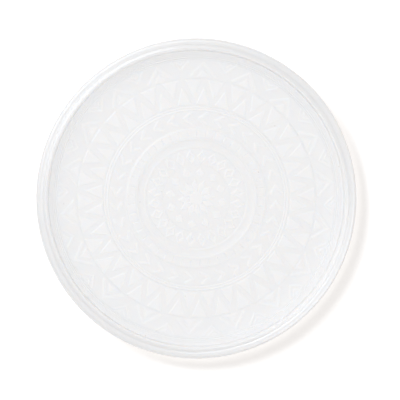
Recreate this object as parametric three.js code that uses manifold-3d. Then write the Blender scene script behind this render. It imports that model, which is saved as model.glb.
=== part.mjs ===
// A round silicone mould for casting a patterned resin coaster.
// Millimetres, +Z up. The origin is the centre of the flat underside.
//
// The mould is one casting. Each region of it is a solid of its own here: a plain web at
// the bottom, the side wall and the rim on top of its edge, and eight concentric pattern
// bands lying on its top face, with a narrow groove between each band and the next.

import * as THREE from 'three';
import { mergeVertices } from 'three/addons/utils/BufferGeometryUtils.js';
import Module from 'manifold-3d';

const wasm = await Module();
wasm.setup();

// ---- Driving dimensions ----

// the casting
const MOUTH_RADIUS = 50;          // the radius of the coaster it casts
const RIM_WIDTH = 4;
const TOTAL_HEIGHT = 8.8;
const WEB_THICKNESS = 2.4;
const UNDERSIDE_CHAMFER = 0.5;

// the wall around the cavity: a low stepped cove at its foot, then a nearly upright face
const COVE_SPREAD = 2.9;
const COVE_RISE = 1.2;
const COVE_STEPS = 5;
const WALL_DRAFT = 0.3;           // how far the upright face leans outward

// the rim on top of the wall
const RIM_HEIGHT = 1.6;
const BEAD_WIDTH = 1.4;
const BEAD_RADIUS = 0.7;          // the rounding between the bead and the mouth
const GROOVE_WIDTH = 0.5;
const GROOVE_DEPTH = 0.15;
const OUTER_EDGE_RADIUS = 0.8;

// the pattern bands: a thin plate each, with its motifs standing on it
const PLATE_THICKNESS = 0.5;
const BAND_GROOVE = 0.5;          // between most bands and the next
const HAIRLINE = 0.3;             // between two that nearly touch
const VEE_BAND_WIDTH = 5.8;
const VEE_BAND_RISE = 0.6;        // how far this band slopes up to meet the wall
const TRIANGLE_BAND_WIDTH = 8.6;
const BEAD_BAND_WIDTH = 1.3;
const CHEVRON_BAND_WIDTH = 4.5;
const TICK_BAND_WIDTH = 3.5;
const CREST_BAND_WIDTH = 3.6;
const DIAMOND_BAND_WIDTH = 5;

// the motifs: how many go round, how high they stand, how wide their strokes are
const VEE_COUNT = 18;
const VEE_HEIGHT = 0.6;
const VEE_STROKE = 0.85;
const SMALL_VEE_STROKE = 0.5;
const TRIANGLE_COUNT = 32;
const TRIANGLE_HEIGHT = 0.7;
const TRIANGLE_MARGIN = 0.2;
const BEAD_RING_COUNT = 2;
const BEAD_RING_HEIGHT = 0.4;
const CHEVRON_COUNT = 32;
const CHEVRON_HEIGHT = 0.5;
const CHEVRON_STROKE = 0.9;
const TICK_COUNT = 45;
const TICK_RIM_HEIGHT = 0.75;     // at the ring's inner edge
const TICK_TOP_HEIGHT = 0.5;      // along its flat top
const TICK_WIDTH = 0.5;
const TICK_LENGTH = 2;
const TICK_MARGIN = 0.3;          // between a slot and the ring's inner edge
const TICK_SLOPE = 1.5;           // width of the slope between the edge and the flat top
const TICK_BEVEL = 0.9;           // width of the outer side
const CREST_HEIGHT = 1;
const CREST_RADIUS = 0.4;         // the rounding on top of the crest
const CREST_STEP_HEIGHT = 0.4;    // where the slope meets the steep side of the crest
const FILLET_RING_WIDTH = 1.1;    // the low ridge along the crest ring's inner edge
const FILLET_RING_HEIGHT = 0.35;
const DIAMOND_COUNT = 24;
const DIAMOND_HEIGHT = 0.5;
const DIAMOND_STROKE = 0.65;
const ROSETTE_COUNT = 12;
const ROSETTE_HEIGHT = 0.5;

// the first motif of each band, in degrees counter-clockwise from +X
const VEE_START = 7;
const TRIANGLE_START = 7.2;
const CHEVRON_START = 6.5;
const TICK_START = 1.2;
const DIAMOND_START = 7.2;
const ROSETTE_START = 21;

// how finely circles are divided
const RING_SEGMENTS = 60;
const SMALL_RING_SEGMENTS = 48;

// ---- Sizes worked out from them ----

const OUTER_RADIUS = MOUTH_RADIUS + RIM_WIDTH;
const WALL_TOP = TOTAL_HEIGHT - RIM_HEIGHT;
const COVE_RADIUS = MOUTH_RADIUS - WALL_DRAFT;      // the outer edge of the cove
const FOOT_RADIUS = COVE_RADIUS - COVE_SPREAD;
const PLATE_TOP = WEB_THICKNESS + PLATE_THICKNESS;
const FOOT_HEIGHT = PLATE_TOP + VEE_BAND_RISE;
const ROOT = WEB_THICKNESS + PLATE_THICKNESS / 2;   // motifs grow from inside their plate

const FULL_TURN = 2 * Math.PI;

// Each band lies inside the one before it: { inner, outer } radii.
function bandInside(outerNeighbour, width, groove = BAND_GROOVE) {
  const outer = outerNeighbour.inner - groove;
  return { inner: outer - width, outer };
}

const veeBand = bandInside({ inner: FOOT_RADIUS }, VEE_BAND_WIDTH, HAIRLINE);
const triangleBand = bandInside(veeBand, TRIANGLE_BAND_WIDTH);
const beadBand = bandInside(triangleBand, BEAD_BAND_WIDTH);
const chevronBand = bandInside(beadBand, CHEVRON_BAND_WIDTH);
const tickBand = bandInside(chevronBand, TICK_BAND_WIDTH);
const crestBand = bandInside(tickBand, CREST_BAND_WIDTH, HAIRLINE);
const diamondBand = bandInside(crestBand, DIAMOND_BAND_WIDTH, HAIRLINE);
const centreRadius = diamondBand.inner - BAND_GROOVE;

// ---- Shapes ----

// A solid of revolution about Z. The profile is a list of [radius, height] that runs
// counter-clockwise and closes on itself, or starts and ends on the axis.
function revolve(profile, segments) {
  const points = profile.map(([radius, height]) => new THREE.Vector2(radius, height));
  if (profile[0][0] > 0) {
    points.push(points[0].clone());
  }
  return new THREE.LatheGeometry(points, segments).rotateX(Math.PI / 2);
}

// A flat ring, or a disc when its inner radius is zero.
function plate(inner, outer, bottom, top, segments) {
  return revolve([[inner, bottom], [outer, bottom], [outer, top], [inner, top]], segments);
}

// A straight-sided solid on a 2-D outline, which may have a hole.
function prism(outline, bottom, top, hole) {
  const shape = new THREE.Shape(outline);
  if (hole) {
    shape.holes.push(new THREE.Path(hole));
  }
  const options = { depth: top - bottom, bevelEnabled: false };
  return new THREE.ExtrudeGeometry(shape, options).translate(0, 0, bottom);
}

// Motifs are drawn on the +X spoke: `out` is the radius, `across` is along the ring.
function at(out, across) {
  return new THREE.Vector2(out, across);
}

// The outline of a bent stroke: two straight arms of the given width that meet at a corner.
function bentStroke(end, corner, otherEnd, width) {
  const half = width / 2;
  const first = corner.clone().sub(end).normalize();
  const second = otherEnd.clone().sub(corner).normalize();
  const side = (direction) => at(-direction.y, direction.x);
  const mitre = side(first).add(side(second));
  mitre.multiplyScalar(width / mitre.lengthSq());
  const firstSide = side(first).multiplyScalar(half);
  const secondSide = side(second).multiplyScalar(half);
  return [
    end.clone().sub(firstSide), corner.clone().sub(mitre), otherEnd.clone().sub(secondSide),
    otherEnd.clone().add(secondSide), corner.clone().add(mitre), end.clone().add(firstSide),
  ];
}

// A triangle with its base across the spoke at one radius and its point at another.
function triangle(baseRadius, pointRadius, baseWidth) {
  const half = Math.sign(pointRadius - baseRadius) * baseWidth / 2;
  return [at(baseRadius, -half), at(pointRadius, 0), at(baseRadius, half)];
}

// A four-cornered lozenge, long along the spoke.
function lozenge(innerTip, outerTip, width) {
  const middle = (innerTip + outerTip) / 2;
  return [at(innerTip, 0), at(middle, -width / 2), at(outerTip, 0), at(middle, width / 2)];
}

// The same lozenge made smaller all round by one thickness.
function insetLozenge(innerTip, outerTip, width, thickness) {
  const halfLength = (outerTip - innerTip) / 2;
  const halfWidth = width / 2;
  const shrink = 1 - thickness * Math.hypot(halfLength, halfWidth) / (halfLength * halfWidth);
  const middle = (innerTip + outerTip) / 2;
  return lozenge(middle - halfLength * shrink, middle + halfLength * shrink, width * shrink);
}

// ---- Joining and cutting ----

function toSolid(geometry) {
  const bare = geometry.clone();
  bare.deleteAttribute('normal');
  bare.deleteAttribute('uv');
  const closed = mergeVertices(bare, 1e-5);
  return new wasm.Manifold(new wasm.Mesh({
    numProp: 3,
    vertProperties: new Float32Array(closed.attributes.position.array),
    triVerts: new Uint32Array(closed.index.array),
  }));
}

function toGeometry(solid) {
  const { vertProperties, triVerts, numProp } = solid.getMesh();
  const positions = [];
  for (let i = 0; i < vertProperties.length; i += numProp) {
    positions.push(...vertProperties.slice(i, i + 3));
  }
  const geometry = new THREE.BufferGeometry();
  geometry.setAttribute('position', new THREE.Float32BufferAttribute(positions, 3));
  geometry.setIndex([...triVerts]);
  geometry.computeVertexNormals();
  return geometry;
}

// Every copy of a motif round the ring, as solids. The start angle is in degrees.
function around(geometry, count, start) {
  const copies = [];
  for (let i = 0; i < count; i += 1) {
    const angle = THREE.MathUtils.degToRad(start) + i * FULL_TURN / count;
    copies.push(toSolid(geometry.clone().rotateZ(angle)));
  }
  return copies;
}

function join(base, copies) {
  return toGeometry(copies.reduce((whole, copy) => whole.add(copy), toSolid(base)));
}

function cut(base, copies) {
  return toGeometry(copies.reduce((whole, copy) => whole.subtract(copy), toSolid(base)));
}

// ---- The casting ----

function makeBaseWeb() {
  return revolve([
    [0, 0],
    [OUTER_RADIUS - UNDERSIDE_CHAMFER, 0],
    [OUTER_RADIUS, UNDERSIDE_CHAMFER],
    [OUTER_RADIUS, WEB_THICKNESS],
    [0, WEB_THICKNESS],
  ], RING_SEGMENTS);
}

// The inner face starts as a cove of small level steps, each narrower than the one inside it,
// as the layers of a printed master leave them, and goes on nearly upright to the mouth.
function makeSideWall() {
  const cove = [];
  for (let step = 1; step <= COVE_STEPS; step += 1) {
    const radius = FOOT_RADIUS + COVE_SPREAD * Math.sin(step / COVE_STEPS * Math.PI / 2);
    const tread = FOOT_HEIGHT + COVE_RISE * (step - 1) / COVE_STEPS;
    cove.push([radius, tread], [radius, tread + COVE_RISE / COVE_STEPS]);
  }
  return revolve([
    [FOOT_RADIUS, WEB_THICKNESS],
    [OUTER_RADIUS, WEB_THICKNESS],
    [OUTER_RADIUS, WALL_TOP],
    [MOUTH_RADIUS, WALL_TOP],
    ...cove.reverse(),
    [FOOT_RADIUS, FOOT_HEIGHT],
  ], RING_SEGMENTS);
}

// Points along an arc of a profile, from one angle to another in degrees.
function arc(out, up, radius, from, to, steps) {
  const points = [];
  for (let i = 0; i <= steps; i += 1) {
    const angle = THREE.MathUtils.degToRad(from + (to - from) * i / steps);
    points.push([out + radius * Math.cos(angle), up + radius * Math.sin(angle)]);
  }
  return points;
}

// From the mouth outward: a rounded bead, a hairline groove and a flat land.
function makeRim() {
  const outerEdge = arc(
    OUTER_RADIUS - OUTER_EDGE_RADIUS, TOTAL_HEIGHT - OUTER_EDGE_RADIUS, OUTER_EDGE_RADIUS, 0, 90, 2);
  const mouthEdge = arc(
    MOUTH_RADIUS + BEAD_RADIUS, TOTAL_HEIGHT - BEAD_RADIUS, BEAD_RADIUS, 90, 180, 2);
  const groove = MOUTH_RADIUS + BEAD_WIDTH;
  return revolve([
    [MOUTH_RADIUS, WALL_TOP],
    [OUTER_RADIUS, WALL_TOP],
    ...outerEdge,
    [groove + GROOVE_WIDTH, TOTAL_HEIGHT],
    [groove + GROOVE_WIDTH / 2, TOTAL_HEIGHT - GROOVE_DEPTH],
    [groove, TOTAL_HEIGHT],
    ...mouthEdge,
  ], RING_SEGMENTS);
}

// ---- The pattern bands, from the wall inward ----

function middle(band) {
  return (band.inner + band.outer) / 2;
}

// How far apart a band's motifs are, measured along the middle of the band.
function pitch(band, count) {
  return FULL_TURN * middle(band) / count;
}

// A V across a band: its point at one radius, and the ends of its arms at another.
function vee(pointRadius, endRadius, spread, stroke) {
  return bentStroke(at(endRadius, -spread), at(pointRadius, 0), at(endRadius, spread), stroke);
}

// Large Vs that point outward, each over a small solid triangle. Between two of them stand
// two small nested Vs that point inward. The band slopes up outward, and so do its motifs.
function makeVeeBand() {
  const { inner, outer } = veeBand;
  const step = pitch(veeBand, VEE_COUNT);
  const half = middle(veeBand);
  const armEnd = inner + VEE_STROKE / 2;
  const smallSpread = 0.19 * step;
  const tinySpread = 0.08 * step;
  const slope = Math.atan(VEE_BAND_RISE / (outer - inner));

  // where a stroke that lies this far off the spoke ends, just inside the band's round edge
  const footEnd = (across) => {
    const corner = across + SMALL_VEE_STROKE / 2;
    return Math.sqrt(outer * outer - corner * corner) - SMALL_VEE_STROKE / 2;
  };

  const tilted = (outline) => prism(outline, -PLATE_THICKNESS / 2, VEE_HEIGHT)
    .translate(-inner, 0, 0)
    .rotateY(-slope)
    .translate(inner, 0, PLATE_TOP);

  const bigVee = vee(outer - VEE_STROKE * 0.9, armEnd, 0.27 * step, VEE_STROKE);
  const wedge = triangle(armEnd - VEE_STROKE / 4, half, 0.26 * step);
  const smallPoint = half - SMALL_VEE_STROKE / 2;
  const smallVee = vee(smallPoint, footEnd(smallSpread), smallSpread, SMALL_VEE_STROKE);
  const tinyVee = vee((half + outer) / 2, footEnd(tinySpread), tinySpread, SMALL_VEE_STROKE);

  const between = VEE_START + 180 / VEE_COUNT;
  const ring = revolve([
    [inner, WEB_THICKNESS], [outer, WEB_THICKNESS], [outer, FOOT_HEIGHT], [inner, PLATE_TOP],
  ], RING_SEGMENTS);
  return join(ring, [
    ...around(tilted(bigVee), VEE_COUNT, VEE_START),
    ...around(tilted(wedge), VEE_COUNT, VEE_START),
    ...around(tilted(smallVee), VEE_COUNT, between),
    ...around(tilted(tinyVee), VEE_COUNT, between),
  ]);
}

// Triangles that point outward and inward by turns, with a zigzag groove between them.
function makeTriangleBand() {
  const { inner, outer } = triangleBand;
  const step = pitch(triangleBand, TRIANGLE_COUNT);
  const length = 0.7 * (outer - inner);
  const top = PLATE_TOP + TRIANGLE_HEIGHT;
  const pointingOut = triangle(inner + TRIANGLE_MARGIN, inner + length, 0.64 * step);
  const pointingIn = triangle(outer - TRIANGLE_MARGIN, outer - length, 0.74 * step);
  const between = TRIANGLE_START + 180 / TRIANGLE_COUNT;
  return join(plate(inner, outer, WEB_THICKNESS, PLATE_TOP, RING_SEGMENTS), [
    ...around(prism(pointingOut, ROOT, top), TRIANGLE_COUNT, TRIANGLE_START),
    ...around(prism(pointingIn, ROOT, top), TRIANGLE_COUNT, between),
  ]);
}

// Fine raised rings, side by side.
function makeBeadRings() {
  const { inner, outer } = beadBand;
  const width = (outer - inner) / BEAD_RING_COUNT;
  const ridges = [];
  for (let i = 0; i < BEAD_RING_COUNT; i += 1) {
    const edge = outer - i * width;
    ridges.push([edge, PLATE_TOP], [edge - width / 2, PLATE_TOP + BEAD_RING_HEIGHT]);
  }
  return revolve([
    [inner, WEB_THICKNESS], [outer, WEB_THICKNESS], ...ridges, [inner, PLATE_TOP],
  ], RING_SEGMENTS);
}

// Chevrons that all point counter-clockwise round the ring.
function makeChevronBand() {
  const { inner, outer } = chevronBand;
  const reach = 0.23 * pitch(chevronBand, CHEVRON_COUNT);
  const margin = CHEVRON_STROKE / 2;
  const outline = bentStroke(
    at(inner + margin, -reach), at(middle(chevronBand), reach), at(outer - margin, -reach),
    CHEVRON_STROKE);
  const chevron = prism(outline, ROOT, PLATE_TOP + CHEVRON_HEIGHT);
  return join(
    plate(inner, outer, WEB_THICKNESS, PLATE_TOP, RING_SEGMENTS),
    around(chevron, CHEVRON_COUNT, CHEVRON_START));
}

// A raised ring that falls outward to a flat top, with narrow slots cut down to its plate.
function makeTickBand() {
  const { inner, outer } = tickBand;
  const top = PLATE_TOP + TICK_TOP_HEIGHT;
  const rim = PLATE_TOP + TICK_RIM_HEIGHT;
  const ring = revolve([
    [inner, WEB_THICKNESS], [outer, WEB_THICKNESS], [outer, PLATE_TOP],
    [outer - TICK_BEVEL, top], [inner + TICK_SLOPE, top], [inner, rim],
  ], RING_SEGMENTS);
  const start = inner + TICK_MARGIN;
  const end = start + TICK_LENGTH;
  const half = TICK_WIDTH / 2;
  const outline = [at(start, -half), at(end, -half), at(end, half), at(start, half)];
  return cut(ring, around(prism(outline, PLATE_TOP, rim + 1), TICK_COUNT, TICK_START));
}

// A rounded crest at the outer edge with a steep inner side, a gentle slope below it, and a
// low rounded ridge along the inner edge.
function makeCrestRing() {
  const { inner, outer } = crestBand;
  const crest = PLATE_TOP + CREST_HEIGHT - CREST_RADIUS;
  return revolve([
    [inner, WEB_THICKNESS], [outer, WEB_THICKNESS],
    ...arc(outer - CREST_RADIUS, crest, CREST_RADIUS, 0, 180, 3),
    [outer - 2.2 * CREST_RADIUS, PLATE_TOP + CREST_STEP_HEIGHT],
    [inner + FILLET_RING_WIDTH, PLATE_TOP],
    [inner + 0.7 * FILLET_RING_WIDTH, PLATE_TOP + FILLET_RING_HEIGHT],
    [inner + 0.3 * FILLET_RING_WIDTH, PLATE_TOP + FILLET_RING_HEIGHT],
    [inner, PLATE_TOP],
  ], RING_SEGMENTS);
}

// Open lozenges side by side, long towards the centre.
function makeDiamondBand() {
  const { inner, outer } = diamondBand;
  const width = 0.9 * pitch(diamondBand, DIAMOND_COUNT);
  const outline = lozenge(inner, outer, width);
  const hole = insetLozenge(inner, outer, width, DIAMOND_STROKE);
  const diamond = prism(outline, ROOT, PLATE_TOP + DIAMOND_HEIGHT, hole);
  return join(
    plate(inner, outer, WEB_THICKNESS, PLATE_TOP, SMALL_RING_SEGMENTS),
    around(diamond, DIAMOND_COUNT, DIAMOND_START));
}

// A star with a ring of lozenges round it, on the round plate in the middle.
function makeCentreRosette() {
  const top = PLATE_TOP + ROSETTE_HEIGHT;
  const petal = lozenge(0.16 * centreRadius, 0.58 * centreRadius, 0.2 * centreRadius);
  const kite = lozenge(0.66 * centreRadius, 0.94 * centreRadius, 0.26 * centreRadius);
  const button = plate(0, 0.2 * centreRadius, ROOT, top, SMALL_RING_SEGMENTS / 2);
  const between = ROSETTE_START + 180 / ROSETTE_COUNT;
  return join(plate(0, centreRadius, WEB_THICKNESS, PLATE_TOP, SMALL_RING_SEGMENTS), [
    toSolid(button),
    ...around(prism(petal, ROOT, top), ROSETTE_COUNT, between),
    ...around(prism(kite, ROOT, top), ROSETTE_COUNT, ROSETTE_START),
  ]);
}

// ---- The assembled mould ----

const mould = new THREE.Group();

function addRegion(name, geometry) {
  const silicone = new THREE.MeshStandardMaterial({
    color: 0xeceff1, roughness: 0.45, metalness: 0,
  });
  const mesh = new THREE.Mesh(geometry, silicone);
  mesh.name = name;
  mould.add(mesh);
}

addRegion('base_web', makeBaseWeb());
addRegion('side_wall', makeSideWall());
addRegion('rim', makeRim());
addRegion('vee_band', makeVeeBand());
addRegion('triangle_band', makeTriangleBand());
addRegion('bead_rings', makeBeadRings());
addRegion('chevron_band', makeChevronBand());
addRegion('tick_band', makeTickBand());
addRegion('crest_ring', makeCrestRing());
addRegion('diamond_band', makeDiamondBand());
addRegion('centre_rosette', makeCentreRosette());

export default mould;
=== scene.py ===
# %% [markdown]
# # A silicone coaster mould
#
# The mould is one soft casting: a shallow round dish with a low wall, a rounded bead round its
# mouth and a floor covered in fine raised pattern. Resin is poured in, and the coaster that
# comes out has the pattern on its face.
#
# The engineering model already gives every size. This script makes the same shapes again as a
# silicone caster would see them: rounded edges, faint layer lines that were copied from the
# printed master, and milky rubber that light sinks into a little.

import bpy
import numpy as np
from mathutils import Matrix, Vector


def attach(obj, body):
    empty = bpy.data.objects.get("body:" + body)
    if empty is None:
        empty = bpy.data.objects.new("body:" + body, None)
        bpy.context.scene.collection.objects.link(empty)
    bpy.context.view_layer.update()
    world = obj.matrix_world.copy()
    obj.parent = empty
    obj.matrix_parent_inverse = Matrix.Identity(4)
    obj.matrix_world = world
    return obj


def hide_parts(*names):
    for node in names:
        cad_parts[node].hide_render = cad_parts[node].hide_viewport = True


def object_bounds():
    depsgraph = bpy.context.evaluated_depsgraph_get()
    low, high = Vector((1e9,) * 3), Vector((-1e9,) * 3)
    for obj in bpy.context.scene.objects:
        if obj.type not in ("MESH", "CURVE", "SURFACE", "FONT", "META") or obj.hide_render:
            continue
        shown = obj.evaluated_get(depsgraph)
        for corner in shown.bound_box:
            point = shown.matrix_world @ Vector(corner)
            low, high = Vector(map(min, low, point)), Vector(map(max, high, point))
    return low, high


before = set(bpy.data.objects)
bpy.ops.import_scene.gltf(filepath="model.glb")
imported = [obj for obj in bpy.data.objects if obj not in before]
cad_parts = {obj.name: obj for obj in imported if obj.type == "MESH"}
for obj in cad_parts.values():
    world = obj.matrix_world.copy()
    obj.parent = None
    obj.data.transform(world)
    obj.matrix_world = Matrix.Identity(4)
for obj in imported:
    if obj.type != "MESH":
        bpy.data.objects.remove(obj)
cad_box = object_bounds()
MM = 0.001
print("overall size in mm:", [round(side / MM, 1) for side in cad_box[1] - cad_box[0]])

# %% [markdown]
# ## Sizes
#
# Each band of the floor is a ring in the engineering model. Its two radii and its two heights
# are measured from the ring's own points, so every new piece lands on the ring it stands for.
# The bands lie on a plate, and their gaps are closed here: neighbours meet halfway. From here on
# a length is in millimetres until it becomes a mesh.


# %% Measure the rings
class Ring:
    """The inner and outer radius and the lowest and highest point of a part, in millimetres."""

    def __init__(self, node):
        points = np.array([corner.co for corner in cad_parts[node].data.vertices]) / MM
        radii = np.hypot(points[:, 0], points[:, 1])
        self.inner = float(radii.min())
        self.outer = float(radii.max())
        self.bottom = float(points[:, 2].min())
        self.top = float(points[:, 2].max())

    def middle(self):
        return (self.inner + self.outer) / 2


web = Ring("base_web")
wall = Ring("side_wall")
rim = Ring("rim")
vees = Ring("vee_band")
triangles = Ring("triangle_band")
beads = Ring("bead_rings")
chevrons = Ring("chevron_band")
ticks = Ring("tick_band")
crest = Ring("crest_ring")
diamonds = Ring("diamond_band")
rosette = Ring("centre_rosette")

PLATE = 0.5
FLOOR = web.top + PLATE
bands = [vees, triangles, beads, chevrons, ticks, crest, diamonds, rosette]
vees.outer = wall.inner
for outside, inside in zip(bands, bands[1:]):
    outside.inner = inside.outer = (outside.inner + inside.outer) / 2
for ring in bands:
    print(f"band from {ring.inner:.2f} to {ring.outer:.2f} mm")

# %% [markdown]
# ## Turning
#
# Almost everything here is round, so it is made as on a potter's wheel. A circle is drawn at
# the first point of a section and then extruded and scaled on to each next point. This keeps
# the faces in neat rings and spokes, and there is no seam to close as there is after a spin.


# %% A helper that turns a section
SAME_PLACE = 1e-6
PLAIN_AROUND = 480


def turned(name, section, around):
    """A round solid. The section is a list of (radius, height) in millimetres that runs
    counter-clockwise and closes on itself, or starts and ends close to the middle."""
    bpy.ops.object.select_all(action="DESELECT")
    radius, height = section[0]
    bpy.ops.mesh.primitive_circle_add(
        vertices=around, radius=radius * MM, fill_type="NOTHING", location=(0, 0, height * MM))
    piece = bpy.context.object
    piece.name = piece.data.name = name
    bpy.ops.object.transform_apply(location=True, rotation=True, scale=True)
    bpy.ops.object.mode_set(mode="EDIT")
    bpy.ops.mesh.select_all(action="SELECT")
    for next_radius, next_height in section[1:]:
        bpy.ops.mesh.extrude_edges_move(
            TRANSFORM_OT_translate={"value": (0, 0, (next_height - height) * MM)})
        growth = next_radius / radius
        bpy.ops.transform.resize(value=(growth, growth, 1), center_override=(0, 0, 0))
        radius, height = next_radius, next_height
    bpy.ops.mesh.select_all(action="SELECT")
    bpy.ops.mesh.remove_doubles(threshold=SAME_PLACE)
    bpy.ops.mesh.select_all(action="DESELECT")
    bpy.ops.mesh.select_mode(type="EDGE")
    bpy.ops.mesh.select_non_manifold()
    bpy.ops.mesh.fill_holes(sides=0)
    bpy.ops.mesh.select_all(action="SELECT")
    bpy.ops.mesh.normals_make_consistent(inside=False)
    bpy.ops.object.mode_set(mode="OBJECT")
    print(name, "has", len(piece.data.polygons), "faces")
    return piece


def arc(out, up, radius, start, stop, steps):
    """Points of a section on part of a circle, from one angle to another in degrees."""
    angles = np.radians(np.linspace(start, stop, steps))
    return [(out + radius * np.cos(angle), up + radius * np.sin(angle)) for angle in angles]


# %% [markdown]
# ## The shell
#
# The underside, the wall and the rim are one skin on the real mould, so they are one turned
# piece here and stand for three parts of the engineering model. The section goes along the
# underside, up the outside, over the flat land, through a hairline groove, over the bead, down
# into the cavity and back to the middle. The land is crowned a little, as it is on rubber that
# shrank as it cured.
#
# At the edge the floor rises to the wall in a low cove. The master was printed in layers, and
# the cove shows them as faint rings that crowd together as it gets steeper. They are a small
# ripple here.
#
# The groove is a list of radii and depths, and the wall's inside face a list of how far it
# stands in from the mouth and how high.

# %% The sizes of the shell
FOOT = wall.inner
FOOT_RISE = 0.6
COVE_OUT = 49.7
COVE_TOP = FLOOR + 1.8
MOUTH = rim.inner
UNDERSIDE_RINGS = (4, 20, 40, 50)
UNDER_EDGE = 0.5
WALL_MIDDLE = 5
LAND_EDGE = 0.8
LAND_MIDDLE = 52.75
CROWN = 5
GROOVE = ((51.8, 0.12), (51.65, 0.13), (51.5, 0.1), (51.3, 0.04))
BEAD = 0.85
INSIDE_FACE = ((0, rim.top - 1.3), (0.1, 6.3), (0.25, COVE_TOP + 0.5))
LAYERS = 5
RIPPLE = 0.036
SEAT = FLOOR - 0.4
SEAT_RINGS = (44, 30, 4)
print(f"the cove rises from {FLOOR + FOOT_RISE:.1f} to {COVE_TOP:.1f} mm")


def cove_height(radius):
    """The height of the cove at a radius. The ripple fades out at the top."""
    reach = (radius - FOOT) / (COVE_OUT - FOOT)
    rise = (COVE_TOP - FLOOR - FOOT_RISE) * (0.5 * reach + 0.5 * reach**2)
    ripple = RIPPLE * (np.cos(2 * np.pi * LAYERS * reach**1.3) - 1) * (1 - reach**4)
    return FLOOR + FOOT_RISE + rise + ripple


# %% Turn the shell
def shell_section():
    top = rim.top
    outer = rim.outer
    section = [(radius, 0) for radius in (*UNDERSIDE_RINGS, outer - UNDER_EDGE - 0.4)]
    section += arc(outer - UNDER_EDGE, UNDER_EDGE, UNDER_EDGE, -90, 0, 7)
    section += [(outer, WALL_MIDDLE / 2), (outer, WALL_MIDDLE), (outer, top - LAND_EDGE - 0.3)]
    section += arc(outer - LAND_EDGE, top - LAND_EDGE - 0.03, LAND_EDGE, 0, 80, 12)
    section += arc(LAND_MIDDLE, top - CROWN, CROWN, 84, 99, 12)
    section += [(radius, top - depth) for radius, depth in GROOVE]
    section += arc(MOUTH + BEAD, top - BEAD, BEAD, 85, 180, 12)
    section += [(MOUTH - inward, height) for inward, height in INSIDE_FACE]
    section += [(COVE_OUT + 0.02, COVE_TOP + 0.2)]
    section += [(radius, cove_height(radius)) for radius in np.linspace(COVE_OUT, FOOT, 56)]
    section += [(FOOT - 0.05, FLOOR), (FOOT - 0.1, SEAT)]
    section += [(radius, SEAT) for radius in SEAT_RINGS]
    return section


shell = turned("casting_shell", shell_section(), PLAIN_AROUND)

# %% [markdown]
# Milky rubber looks whiter where there is more of it behind the surface, because light that
# passes through the rubber comes out there. That light is painted into the colour here as a
# painted glow. Each point of a mesh gets a number for it, from 0 to 1, and the silicone reads it.
# On the shell it grows over the cove and is highest on the inside of the wall, which has the
# whole rim behind it. The rounded outer edge is painted whiter too, as painted light for the
# light that went into the rim and comes out there.


# %% Helpers that read the points of a mesh and mark its painted glow
def places(piece):
    """The radius, the angle and the height of every point of a mesh, in mm and radians."""
    points = np.empty(len(piece.data.vertices) * 3)
    piece.data.vertices.foreach_get("co", points)
    points = points.reshape(-1, 3) / MM
    return np.hypot(points[:, 0], points[:, 1]), np.arctan2(points[:, 1], points[:, 0]), points[:, 2]


def mark_painted_glow(piece, amount):
    glow_and_satin = piece.data.attributes.new("glow_and_satin", "FLOAT", "POINT")
    glow_and_satin.data.foreach_set("value", amount.astype(np.float32))


# %% Mark the painted glow on the shell
EDGE_GLOW = 0.4

radius, angle, level = places(shell)
# Painted glow: the cove and the inside of the wall are painted whiter, for light through the rim.
glow_behind = np.interp(
    radius, [FOOT, COVE_OUT - 0.8, COVE_OUT, MOUTH + 0.2, MOUTH + 0.7], [0.25, 0.55, 1, 1, 0])
# Painted glow: the rounded outer edge is painted whiter near the top, for light out of the rim.
edge = np.interp(radius, [rim.outer - 0.6, rim.outer - 0.2], [0, EDGE_GLOW])
edge *= np.interp(level, [WALL_MIDDLE, rim.top], [0, 1])
glow_marks = np.where(level > FLOOR, glow_behind, 0) + edge
mark_painted_glow(shell, glow_marks)
print("points of the shell marked:", int((glow_marks > 0).sum()), "of", len(glow_marks))

# %% [markdown]
# ## The pattern on the floor
#
# The pattern was modelled as soft ridges and flat-topped shapes. Cutting hundreds of small
# outlines into a mesh leaves messy faces, so each band is a ring with a fine, even grid on its
# top instead. The pattern is painted on the grid as weights, and a Displace modifier lifts the
# painted points. It is how a pattern is embossed: the outlines stay soft, as cast rubber's are.
#
# Painting needs to know how far each point is from the nearest line of the pattern. Every band
# repeats, so the points are first folded on to a single motif. The number of points round a band
# is a multiple of its motifs, so that every motif is the same.


# %% Helpers for painting a pattern
def ramp(distance, softness):
    """0 outside a shape, 1 well inside it, with a smooth edge this wide between."""
    share = np.clip(distance / softness + 0.5, 0, 1)
    return share * share * (3 - 2 * share)


def folded(radius, angle, count, start):
    """Every point moved to the first motif: how far out it is and how far to its left side."""
    pitch = 2 * np.pi / count
    turn = (angle - np.radians(start) + pitch / 2) % pitch - pitch / 2
    return radius * np.cos(turn), radius * np.sin(turn)


def line_distance(out, across, start, end):
    """How far each point is from a straight line between two points."""
    along_out, along_across = end[0] - start[0], end[1] - start[1]
    length = np.hypot(along_out, along_across)
    share = ((out - start[0]) * along_out + (across - start[1]) * along_across) / length**2
    share = np.clip(share, 0, 1)
    return np.hypot(out - start[0] - share * along_out, across - start[1] - share * along_across)


def vee_distance(out, across, point, end, spread):
    """How far each point is from a V that points along the spoke."""
    return line_distance(out, np.abs(across), (point, 0), (end, spread))


def inside_triangle(out, across, base, point, width):
    """How far inside a triangle each point is. Outside it the distance is negative."""
    direction = np.sign(point - base)
    length = abs(point - base)
    height = (out - base) * direction
    side = width / 2 * (length - height) - length * np.abs(across)
    return np.minimum(height, side / np.hypot(length, width / 2))


def inside_lozenge(out, across, inner, outer, width):
    """The same for a lozenge that is long towards the middle."""
    half_length, half_width = (outer - inner) / 2, width / 2
    away = np.abs(out - (inner + outer) / 2)
    reach = half_length * half_width - away * half_width - np.abs(across) * half_length
    return reach / np.hypot(half_length, half_width)


# %% A helper that makes a band and raises its pattern
ROOT = 1.6
DIP = 0.03
DIP_WIDTH = 0.25
SMALLEST = 0.25
RAISED_GLOW = 0.12


def dip(radius, edge):
    """The shallow groove between two bands, as a height below the floor."""
    return -DIP * np.exp(-(((radius - edge) / DIP_WIDTH) ** 2))


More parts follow.
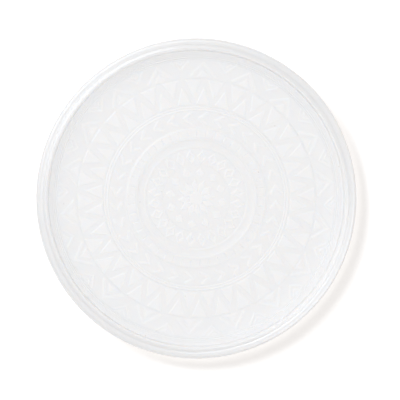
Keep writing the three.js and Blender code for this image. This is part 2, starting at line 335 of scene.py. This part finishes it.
def ornament(name, ring, around, across, height_at):
    """A ring of the floor. Its pattern is painted as weights and lifted by a Displace modifier."""
    inner = max(ring.inner, SMALLEST)
    section = [(inner, ROOT), (ring.outer, ROOT)]
    section += [(radius, FLOOR - DIP) for radius in np.linspace(ring.outer, inner, across)]
    if ring.inner > SMALLEST:
        section.append((inner, ROOT))
    piece = turned(name, section, around)
    radius, angle, level = places(piece)
    height, raised = height_at(radius, angle)
    lift = np.where(level > ROOT + 0.1, DIP + height, 0).clip(0, None)
    # Painted glow: the raised pattern is painted whiter, for light through the thicker rubber.
    mark_painted_glow(piece, np.where(lift > 0, RAISED_GLOW * raised, 0))
    paint = piece.vertex_groups.new(name="pattern")
    tallest = float(lift.max())
    for index in np.flatnonzero(lift > 0):
        paint.add([int(index)], float(lift[index]) / tallest, "REPLACE")
    emboss = piece.modifiers.new("emboss", "DISPLACE")
    emboss.direction = "Z"
    emboss.mid_level = 0
    emboss.strength = tallest * MM
    emboss.vertex_group = paint.name
    bpy.ops.object.modifier_apply(modifier=emboss.name)
    print(f"{name}: stands up to {tallest - DIP:.2f} mm above the floor")
    return piece


# %% [markdown]
# ### Vs and triangles by the wall
#
# The outermost band curves up to the wall. Eighteen large Vs point outward, each over a small
# solid triangle. Between two of them a pair of small nested Vs points inward. A stroke is half
# the width of a line, and the soft edge is how far its side slopes.

# %% Make the vee band
VEE_COUNT = 18
VEE_START = 7
VEE_HEIGHT = 0.1
BIG_STROKE = 0.42
SMALL_STROKE = 0.28
TINY_STROKE = 0.24
SOFT_EDGE = 0.4


def vee_heights(radius, angle):
    pitch = 2 * np.pi * vees.middle() / VEE_COUNT
    out, across = folded(radius, angle, VEE_COUNT, VEE_START)
    big = vee_distance(out, across, vees.outer - 1.05, vees.inner + 0.75, 0.27 * pitch)
    wedge = inside_triangle(out, across, vees.inner + 0.45, vees.middle() - 0.1, 0.26 * pitch)
    out, across = folded(radius, angle, VEE_COUNT, VEE_START + 180 / VEE_COUNT)
    small = vee_distance(out, across, vees.middle() - 0.25, vees.outer - 0.65, 0.19 * pitch)
    tiny = vee_distance(out, across, (vees.middle() + vees.outer) / 2, vees.outer - 0.6, 0.08 * pitch)
    raised = np.maximum.reduce([
        ramp(BIG_STROKE - big, BIG_STROKE), ramp(wedge, BIG_STROKE),
        ramp(SMALL_STROKE - small, SOFT_EDGE), ramp(TINY_STROKE - tiny, SOFT_EDGE)])
    reach = np.clip((radius - vees.inner) / (vees.outer - vees.inner), 0, 1)
    return FOOT_RISE * reach**2 + VEE_HEIGHT * raised + dip(radius, vees.inner), raised


vee_ornament = ornament("vee_ornament", vees, VEE_COUNT * 96, 40, vee_heights)

# %% [markdown]
# ### The ring of triangles
#
# Flat-topped triangles point outward and inward by turns, and a zigzag groove runs between.

# %% Make the triangle band
TRIANGLE_COUNT = 32
TRIANGLE_START = 7.2
TRIANGLE_HEIGHT = 0.13


def triangle_heights(radius, angle):
    pitch = 2 * np.pi * triangles.middle() / TRIANGLE_COUNT
    inner, outer = triangles.inner + 0.25, triangles.outer - 0.25
    length = 0.7 * (outer - inner)
    out, across = folded(radius, angle, TRIANGLE_COUNT, TRIANGLE_START)
    outward = inside_triangle(out, across, inner + 0.2, inner + length, 0.64 * pitch)
    out, across = folded(radius, angle, TRIANGLE_COUNT, TRIANGLE_START + 180 / TRIANGLE_COUNT)
    inward = inside_triangle(out, across, outer - 0.2, outer - length, 0.74 * pitch)
    raised = np.maximum(ramp(outward, SOFT_EDGE), ramp(inward, SOFT_EDGE))
    return TRIANGLE_HEIGHT * raised + dip(radius, triangles.outer) + dip(radius, triangles.inner), raised


triangle_ornament = ornament("triangle_ornament", triangles, TRIANGLE_COUNT * 48, 56, triangle_heights)

# %% [markdown]
# ### Fine bead rings
#
# Two rounded rings lie side by side inside the triangles.

# %% Make the bead rings
BEAD_COUNT = 2
BEAD_HEIGHT = 0.06


def bead_heights(radius, angle):
    share = (radius - beads.inner) / (beads.outer - beads.inner)
    raised = np.sin(np.pi * BEAD_COUNT * share) ** 2
    return -DIP + (DIP + BEAD_HEIGHT) * raised, raised


bead_ornament = ornament("bead_ornament", beads, PLAIN_AROUND, 26, bead_heights)

# %% [markdown]
# ### Chevrons
#
# The chevrons all point the same way round, counter-clockwise seen from above.

# %% Make the chevron band
CHEVRON_COUNT = 32
CHEVRON_START = 6.5
CHEVRON_HEIGHT = 0.11


def chevron_heights(radius, angle):
    pitch = 2 * np.pi * chevrons.middle() / CHEVRON_COUNT
    reach = 0.23 * pitch
    out, across = folded(radius, angle, CHEVRON_COUNT, CHEVRON_START)
    away = np.abs(out - chevrons.middle())
    half = (chevrons.outer - chevrons.inner) / 2 - 0.8
    arm = line_distance(away, across, (0, reach), (half, -reach))
    raised = ramp(BIG_STROKE - arm, SOFT_EDGE)
    return CHEVRON_HEIGHT * raised + dip(radius, chevrons.outer) + dip(radius, chevrons.inner), raised


chevron_ornament = ornament("chevron_ornament", chevrons, CHEVRON_COUNT * 40, 34, chevron_heights)

# %% [markdown]
# ### Ticks and the crest
#
# The highest ridge of the floor is steep on the inside, with a gentle slope below it and a low
# ring at the bottom. Outside the ridge the floor falls away gently, over a row of narrow slots.
# A slot is as deep as its share of the ring's height.

# %% Make the tick band and the crest
TICK_COUNT = 45
TICK_START = 1.2
CREST_HEIGHT = 0.36
TICK_HEIGHT = 0.24
SLOT_DEPTH = 0.4
LOW_RING_HEIGHT = 0.08
SLOPE_HEIGHT = 0.14
# How much of the painted glow the tick band and the crest's step get: painted whiter, for light through
# the thicker rubber.
SLOPE_GLOW = 0.3


def tick_heights(radius, angle):
    slope = np.clip((radius - ticks.inner) / 1.6, 0, 1)
    top = CREST_HEIGHT + (TICK_HEIGHT - CREST_HEIGHT) * slope
    fall = ramp(ticks.outer - 1 - radius, 0.9)
    out, across = folded(radius, angle, TICK_COUNT, TICK_START)
    slot = line_distance(out, across, (ticks.inner + 0.6, 0), (ticks.inner + 2.25, 0))
    raised = fall * (1 - SLOT_DEPTH * ramp(0.22 - slot, 0.25))
    return top * raised, SLOPE_GLOW * raised


def crest_heights(radius, angle):
    ring = LOW_RING_HEIGHT * np.exp(-(((radius - crest.inner - 0.65) / 0.36) ** 2))
    reach = np.clip((radius - crest.inner - 1.35) / 1.5, 0, 1)
    slope = SLOPE_HEIGHT * reach**2
    step = (CREST_HEIGHT - SLOPE_HEIGHT) * ramp(radius - (crest.outer - 0.8), 0.6)
    return ring + slope + step + dip(radius, crest.inner), SLOPE_GLOW * step / CREST_HEIGHT


tick_ornament = ornament("tick_ornament", ticks, TICK_COUNT * 30, 30, tick_heights)
crest_ornament = ornament("crest_ornament", crest, PLAIN_AROUND, 40, crest_heights)

# %% [markdown]
# ### Lozenges and the rosette
#
# Open lozenges stand side by side inside the crest. The rosette in the middle is a plain star
# with a ring of small solid lozenges.

# %% Make the diamond band and the rosette
DIAMOND_COUNT = 24
DIAMOND_START = 7.2
DIAMOND_STROKE = 0.3
ROSETTE_COUNT = 12
ROSETTE_START = 21
CENTRE_HEIGHT = 0.12
CENTRE_EDGE = 0.35


def diamond_heights(radius, angle):
    pitch = 2 * np.pi * diamonds.middle() / DIAMOND_COUNT
    out, across = folded(radius, angle, DIAMOND_COUNT, DIAMOND_START)
    inside = inside_lozenge(out, across, diamonds.inner + 0.3, diamonds.outer - 0.2, 0.9 * pitch)
    raised = ramp(DIAMOND_STROKE - np.abs(inside - DIAMOND_STROKE), CENTRE_EDGE)
    return CENTRE_HEIGHT * raised + dip(radius, diamonds.outer) + dip(radius, diamonds.inner), raised


def rosette_heights(radius, angle):
    size = rosette.outer - 0.25
    out, across = folded(radius, angle, ROSETTE_COUNT, ROSETTE_START)
    kite = inside_lozenge(out, across, 0.66 * size, 0.94 * size, 0.26 * size)
    out, across = folded(radius, angle, ROSETTE_COUNT, ROSETTE_START + 180 / ROSETTE_COUNT)
    petal = inside_lozenge(out, across, 0.16 * size, 0.58 * size, 0.2 * size)
    button = 0.2 * size - radius
    raised = ramp(np.maximum.reduce([kite, petal, button]), CENTRE_EDGE)
    return CENTRE_HEIGHT * raised + dip(radius, rosette.outer), raised


diamond_ornament = ornament("diamond_ornament", diamonds, DIAMOND_COUNT * 44, 46, diamond_heights)
rosette_ornament = ornament("rosette_ornament", rosette, ROSETTE_COUNT * 48, 84, rosette_heights)

# %% [markdown]
# ## Smooth shading
#
# The rings are fine enough to shade as one smooth surface. Only the sharp corner between the
# flat underside and the rest is kept.

# %% Shade the pieces
CORNER = np.radians(50)
stands_for = {
    shell: ["base_web", "side_wall", "rim"],
    vee_ornament: ["vee_band"],
    triangle_ornament: ["triangle_band"],
    bead_ornament: ["bead_rings"],
    chevron_ornament: ["chevron_band"],
    tick_ornament: ["tick_band"],
    crest_ornament: ["crest_ring"],
    diamond_ornament: ["diamond_band"],
    rosette_ornament: ["centre_rosette"],
}
for piece in stands_for:
    bpy.ops.object.select_all(action="DESELECT")
    piece.select_set(True)
    bpy.context.view_layer.objects.active = piece
    bpy.ops.object.shade_smooth_by_angle(angle=CORNER)

print("smooth pieces:", len(stands_for))

# %% [markdown]
# ## Silicone
#
# Platinum-cured silicone is a milky white rubber. Light enters it and spreads, so its relief
# looks low in contrast, and its surface is satin, with a very fine grain from the master. A
# handled mould also has faint clouds where it has been wiped, and a few specks of dust. The
# spreading is short here, because a long one is slow to render and grainy.
#
# A material is a network of nodes. The small class below wraps one output of a node, so that
# a sum can be written as a sum, and a mix of colours as one line.


# %% A class for writing materials
class Wire:
    """One output of a node. Arithmetic on it adds the Math nodes that the sum needs."""

    def __init__(self, tree, socket=None):
        self.tree = tree
        self.socket = socket

    def node(self, kind, settings=None, values=None, output=0):
        """Adds a node: its settings first, then numbers or wires for its sockets."""
        made = self.tree.nodes.new(kind)
        for setting, value in (settings or {}).items():
            setattr(made, setting, value)
        for name, value in (values or {}).items():
            if isinstance(value, Wire):
                self.tree.links.new(value.socket, made.inputs[name])
            else:
                made.inputs[name].default_value = value
        return Wire(self.tree, made.outputs[output])

    def maths(self, operation, first, second):
        return self.node("ShaderNodeMath", {"operation": operation}, {0: first, 1: second})

    def mixed(self, first, second):
        """A mix of two colours, by this wire: 0 gives the first and 1 the second."""
        return self.node("ShaderNodeMix", {"data_type": "RGBA"},
                         {"Factor": self, "A": first, "B": second}, output="Result")

    def __add__(self, other):
        return self.maths("ADD", self, other)

    def __radd__(self, other):
        return self.maths("ADD", other, self)

    def __sub__(self, other):
        return self.maths("SUBTRACT", self, other)

    def __rsub__(self, other):
        return self.maths("SUBTRACT", other, self)

    def __mul__(self, other):
        return self.maths("MULTIPLY", self, other)

    def __rmul__(self, other):
        return self.maths("MULTIPLY", other, self)

    def __lt__(self, other):
        return self.maths("LESS_THAN", self, other)


# %% [markdown]
# One recipe serves the whole mould. Its settings are how white the rubber is, how strong its
# grain, how rough and how shiny its surface, and how deep light goes in millimetres. The scales
# of the clouds, the dust and the grain are in cells to a metre. The shell and the floor get
# their own, because the land of the rim was polished on the master and the floor wasn't. The
# shell's rubber is also painted greyer than the floor's, as painted shade: the white table shines
# through the thin floor but not through the thick rim. Where the glow mark is high the rubber is
# painted whiter, as a painted glow for light passing through the rubber, and it is less polished.


# %% The silicone recipe
TINT = (0.998, 1, 1.006)
CLOUDS = 45
CLOUDY = 0.985
# How much whiter the glow mark paints the rubber: a painted glow for light passing through it.
GLOW_WHITENESS = 1.13
DUST = (0.52, 0.5, 0.47, 1)
DUST_CELLS = 200
DUST_SIZE = 0.035
DUSTY_CLOUD = 0.47
DUST_STRENGTH = 0.6
FINE_GRAIN = 2600
BROAD_GRAIN = 420
GRAIN_HEIGHT = 0.04
SPREAD = (1.0, 0.9, 0.8)
RUBBER_IOR = 1.41


def shade(milk, amount):
    """The rubber's colour, less white by an amount for the clouds and whiter by an amount for the
    painted glow, with its faint cold tint.
    """
    return (*[amount * milk * tint for tint in TINT], 1)


def silicone(name, milk, grain, gloss, shine, depth):
    material = bpy.data.materials.new(name)
    material.use_nodes = True
    tree = material.node_tree
    shader = tree.nodes["Principled BSDF"]
    start = Wire(tree)
    place = start.node("ShaderNodeTexCoord", output="Object")

    clouds = start.node("ShaderNodeTexNoise", None, {"Vector": place, "Scale": CLOUDS, "Detail": 3})
    tone_and_glow = clouds.mixed(shade(milk, 1), shade(milk, CLOUDY))
    # Painted glow: where the mark is high the colour is painted whiter, for light through the rubber.
    glow_and_satin = start.node("ShaderNodeAttribute", {"attribute_name": "glow_and_satin"}, output="Fac")
    tone_and_glow = glow_and_satin.mixed(tone_and_glow, shade(milk, GLOW_WHITENESS))
    cell = start.node(
        "ShaderNodeTexVoronoi", None, {"Vector": place, "Scale": DUST_CELLS}, "Distance")
    speck = (cell < DUST_SIZE) * (clouds < DUSTY_CLOUD)
    colour = (speck * DUST_STRENGTH).mixed(tone_and_glow, DUST)

    fine = start.node(
        "ShaderNodeTexNoise", None, {"Vector": place, "Scale": FINE_GRAIN, "Detail": 2})
    broad = start.node(
        "ShaderNodeTexNoise", None, {"Vector": place, "Scale": BROAD_GRAIN, "Detail": 3})
    bump = start.node("ShaderNodeBump", None,
                      {"Height": fine * 0.5 + broad, "Strength": grain,
                       "Distance": GRAIN_HEIGHT * MM})

    tree.links.new(colour.socket, shader.inputs["Base Color"])
    satin = gloss + 0.1 * clouds + 0.05 * broad + 0.4 * glow_and_satin
    tree.links.new(satin.socket, shader.inputs["Roughness"])
    tree.links.new(bump.socket, shader.inputs["Normal"])
    shader.inputs["Subsurface Weight"].default_value = 1
    shader.inputs["Subsurface Radius"].default_value = SPREAD
    shader.inputs["Subsurface Scale"].default_value = depth * MM
    shader.inputs["IOR"].default_value = RUBBER_IOR
    shader.inputs["Specular IOR Level"].default_value = shine
    return material


# The shell's milk is lower than the floor's: painted shade, because the white table shines through the
# thin floor but not through the thick rim.
floor_silicone = silicone("satin_silicone", milk=0.786, grain=0.4, gloss=0.24, shine=0.5, depth=0.12)
shell_silicone = silicone("polished_silicone", milk=0.72, grain=0.25, gloss=0.14, shine=0.9, depth=0.4)
for piece, nodes in stands_for.items():
    piece.data.materials.clear()
    piece.data.materials.append(shell_silicone if piece is shell else floor_silicone)
    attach(piece, "root")
    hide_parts(*nodes)
print("pieces with a finish:", len(stands_for))

# %% [markdown]
# ## The table
#
# The mould lies on a plain white table. The table is a wide plane with a matt white finish and
# a faint glow of its own, which stands in for the light that a white room throws on to it. The
# glow is stronger in a narrow ring beside the wall, where light leaks out of the milky rubber.
#
# The table is a hair below the mould, because two faces at one height flicker, and it is clear
# from beneath, so the underside can be looked at. It is stage dressing and no part of the mould.

# %% Make the table
TABLE_SIDE = 6
TABLE_WHITE = (0.93, 0.93, 0.93, 1)
TABLE_GLOW = 0.14
GLOW_COLOUR = (1, 0.965, 0.935, 1)
TABLE_DROP = 0.05
LEAK = 1.2
LEAK_REACH = 3

bpy.ops.object.select_all(action="DESELECT")
bpy.ops.mesh.primitive_plane_add(size=TABLE_SIDE, location=(0, 0, -TABLE_DROP * MM))
table = bpy.context.object
table.name = "table"
table_paint = bpy.data.materials.new("matt_white_table")
table_paint.use_nodes = True
table_shader = table_paint.node_tree.nodes["Principled BSDF"]
table_shader.inputs["Base Color"].default_value = TABLE_WHITE
table_shader.inputs["Roughness"].default_value = 0.9
table_shader.inputs["Specular IOR Level"].default_value = 0.1
table_shader.inputs["Emission Strength"].default_value = TABLE_GLOW
paint = Wire(table_paint.node_tree, table_shader.outputs["BSDF"])
place = paint.node("ShaderNodeTexCoord", output="Object")
away = paint.node("ShaderNodeVectorMath", {"operation": "LENGTH"}, {0: place}, output="Value")
beyond = paint.node("ShaderNodeMapRange", {"interpolation_type": "SMOOTHSTEP"},
                    {"Value": away, "From Min": rim.outer * MM,
                     "From Max": (rim.outer + LEAK_REACH) * MM})
leaking = (*[(1 + LEAK) * part for part in GLOW_COLOUR[:3]], 1)
glow = (1 - beyond).mixed(GLOW_COLOUR, leaking)
table_paint.node_tree.links.new(glow.socket, table_shader.inputs["Emission Color"])
beneath = paint.node("ShaderNodeNewGeometry", output="Backfacing")
nothing = paint.node("ShaderNodeBsdfTransparent")
surface = paint.node("ShaderNodeMixShader", None, {0: beneath, 1: paint, 2: nothing})
table_output = table_paint.node_tree.nodes["Material Output"]
table_paint.node_tree.links.new(surface.socket, table_output.inputs["Surface"])
table.data.materials.append(table_paint)
print("the table's side is", TABLE_SIDE, "m")

# %% [markdown]
# ## Light
#
# The light is that of a product table in a white room: even light from all round, and a large
# soft lamp, high at the upper left. Most of the light is the room's, so the relief shows only as
# faint light and shade, and the shadow beside the wall is pale.
#
# Milky rubber lets light through its wall and on to its floor. Rendering that truly takes very
# long, so light linking stands in for it: the lamps that light the mould aren't stopped by its
# wall, apart from one weak lamp that gives the shade at the foot of the wall. A lamp of its own
# casts the mould's shadow on the table. Two more are seen only as a sheen on the rim.

# %% Set the lights
ROOM_LIGHT = 0.82
ROOM_COLOUR = (1, 0.968, 0.942, 1)
LAMP_COLOUR = (0.9, 0.95, 1)


def group_of(name, things):
    group = bpy.data.collections.new(name)
    for thing in things:
        group.objects.link(thing)
    return group


def lamp(name, turn, rise, side, power, lit, shading):
    """A square lamp, a metre away, that looks at the mould from a direction: its turn and its
    rise in degrees. It lights some objects, and only some of them give shade in its light."""
    turn, rise = np.radians(turn), np.radians(rise)
    place = Vector((np.cos(rise) * np.cos(turn), np.cos(rise) * np.sin(turn), np.sin(rise)))
    bpy.ops.object.light_add(type="AREA", location=place)
    light = bpy.context.object
    light.name = name
    light.rotation_euler = place.to_track_quat("Z", "Y").to_euler()
    light.data.size = side
    light.data.energy = power
    light.data.color = LAMP_COLOUR
    light.light_linking.receiver_collection = group_of(name + "_lit", lit)
    light.light_linking.blocker_collection = group_of(name + "_shading", shading)
    return light


world = bpy.data.worlds.new("white_room")
bpy.context.scene.world = world
world.use_nodes = True
room = world.node_tree.nodes["Background"]
room.inputs["Color"].default_value = ROOM_COLOUR
room.inputs["Strength"].default_value = ROOM_LIGHT
mould = list(stands_for)
lamp("table_lamp", 138, 57, 0.3, 3.8, [table], mould)
lamp("upper_left_lamp", 138, 57, 0.6, 2.8, mould, [table])
lamp("shade_lamp", 138, 50, 0.6, 0.9, mould, mould)
lamp("lower_right_lamp", -42, 52, 0.4, 1.6, mould, [table])
for name, turn in (("upper_left_sheen", 126), ("lower_right_sheen", -30)):
    sheen = lamp(name, turn, 75, 0.32, 1.8, [shell], [table])
    sheen.visible_diffuse = False
bpy.context.scene.view_settings.view_transform = "Standard"

# %% [markdown]
# ## Camera
#
# The camera looks straight down from two metres through a long lens, so the wall isn't seen
# in perspective and every circle stays a circle.

# %% Set the camera
VIEW_HEIGHT = 2.0
VIEW_WIDTH = 134.7 * MM
VIEW_CENTRE = (1.25 * MM, -0.54 * MM)

bpy.ops.object.camera_add(location=(*VIEW_CENTRE, VIEW_HEIGHT), rotation=(0, 0, 0))
camera = bpy.context.object
camera.data.sensor_width = 36
camera.data.lens = camera.data.sensor_width * (VIEW_HEIGHT - cad_box[1].z) / VIEW_WIDTH
camera.data.clip_start = 0.1
camera.data.clip_end = 20
bpy.context.scene.camera = camera
print(f"the lens is {camera.data.lens:.0f} mm")
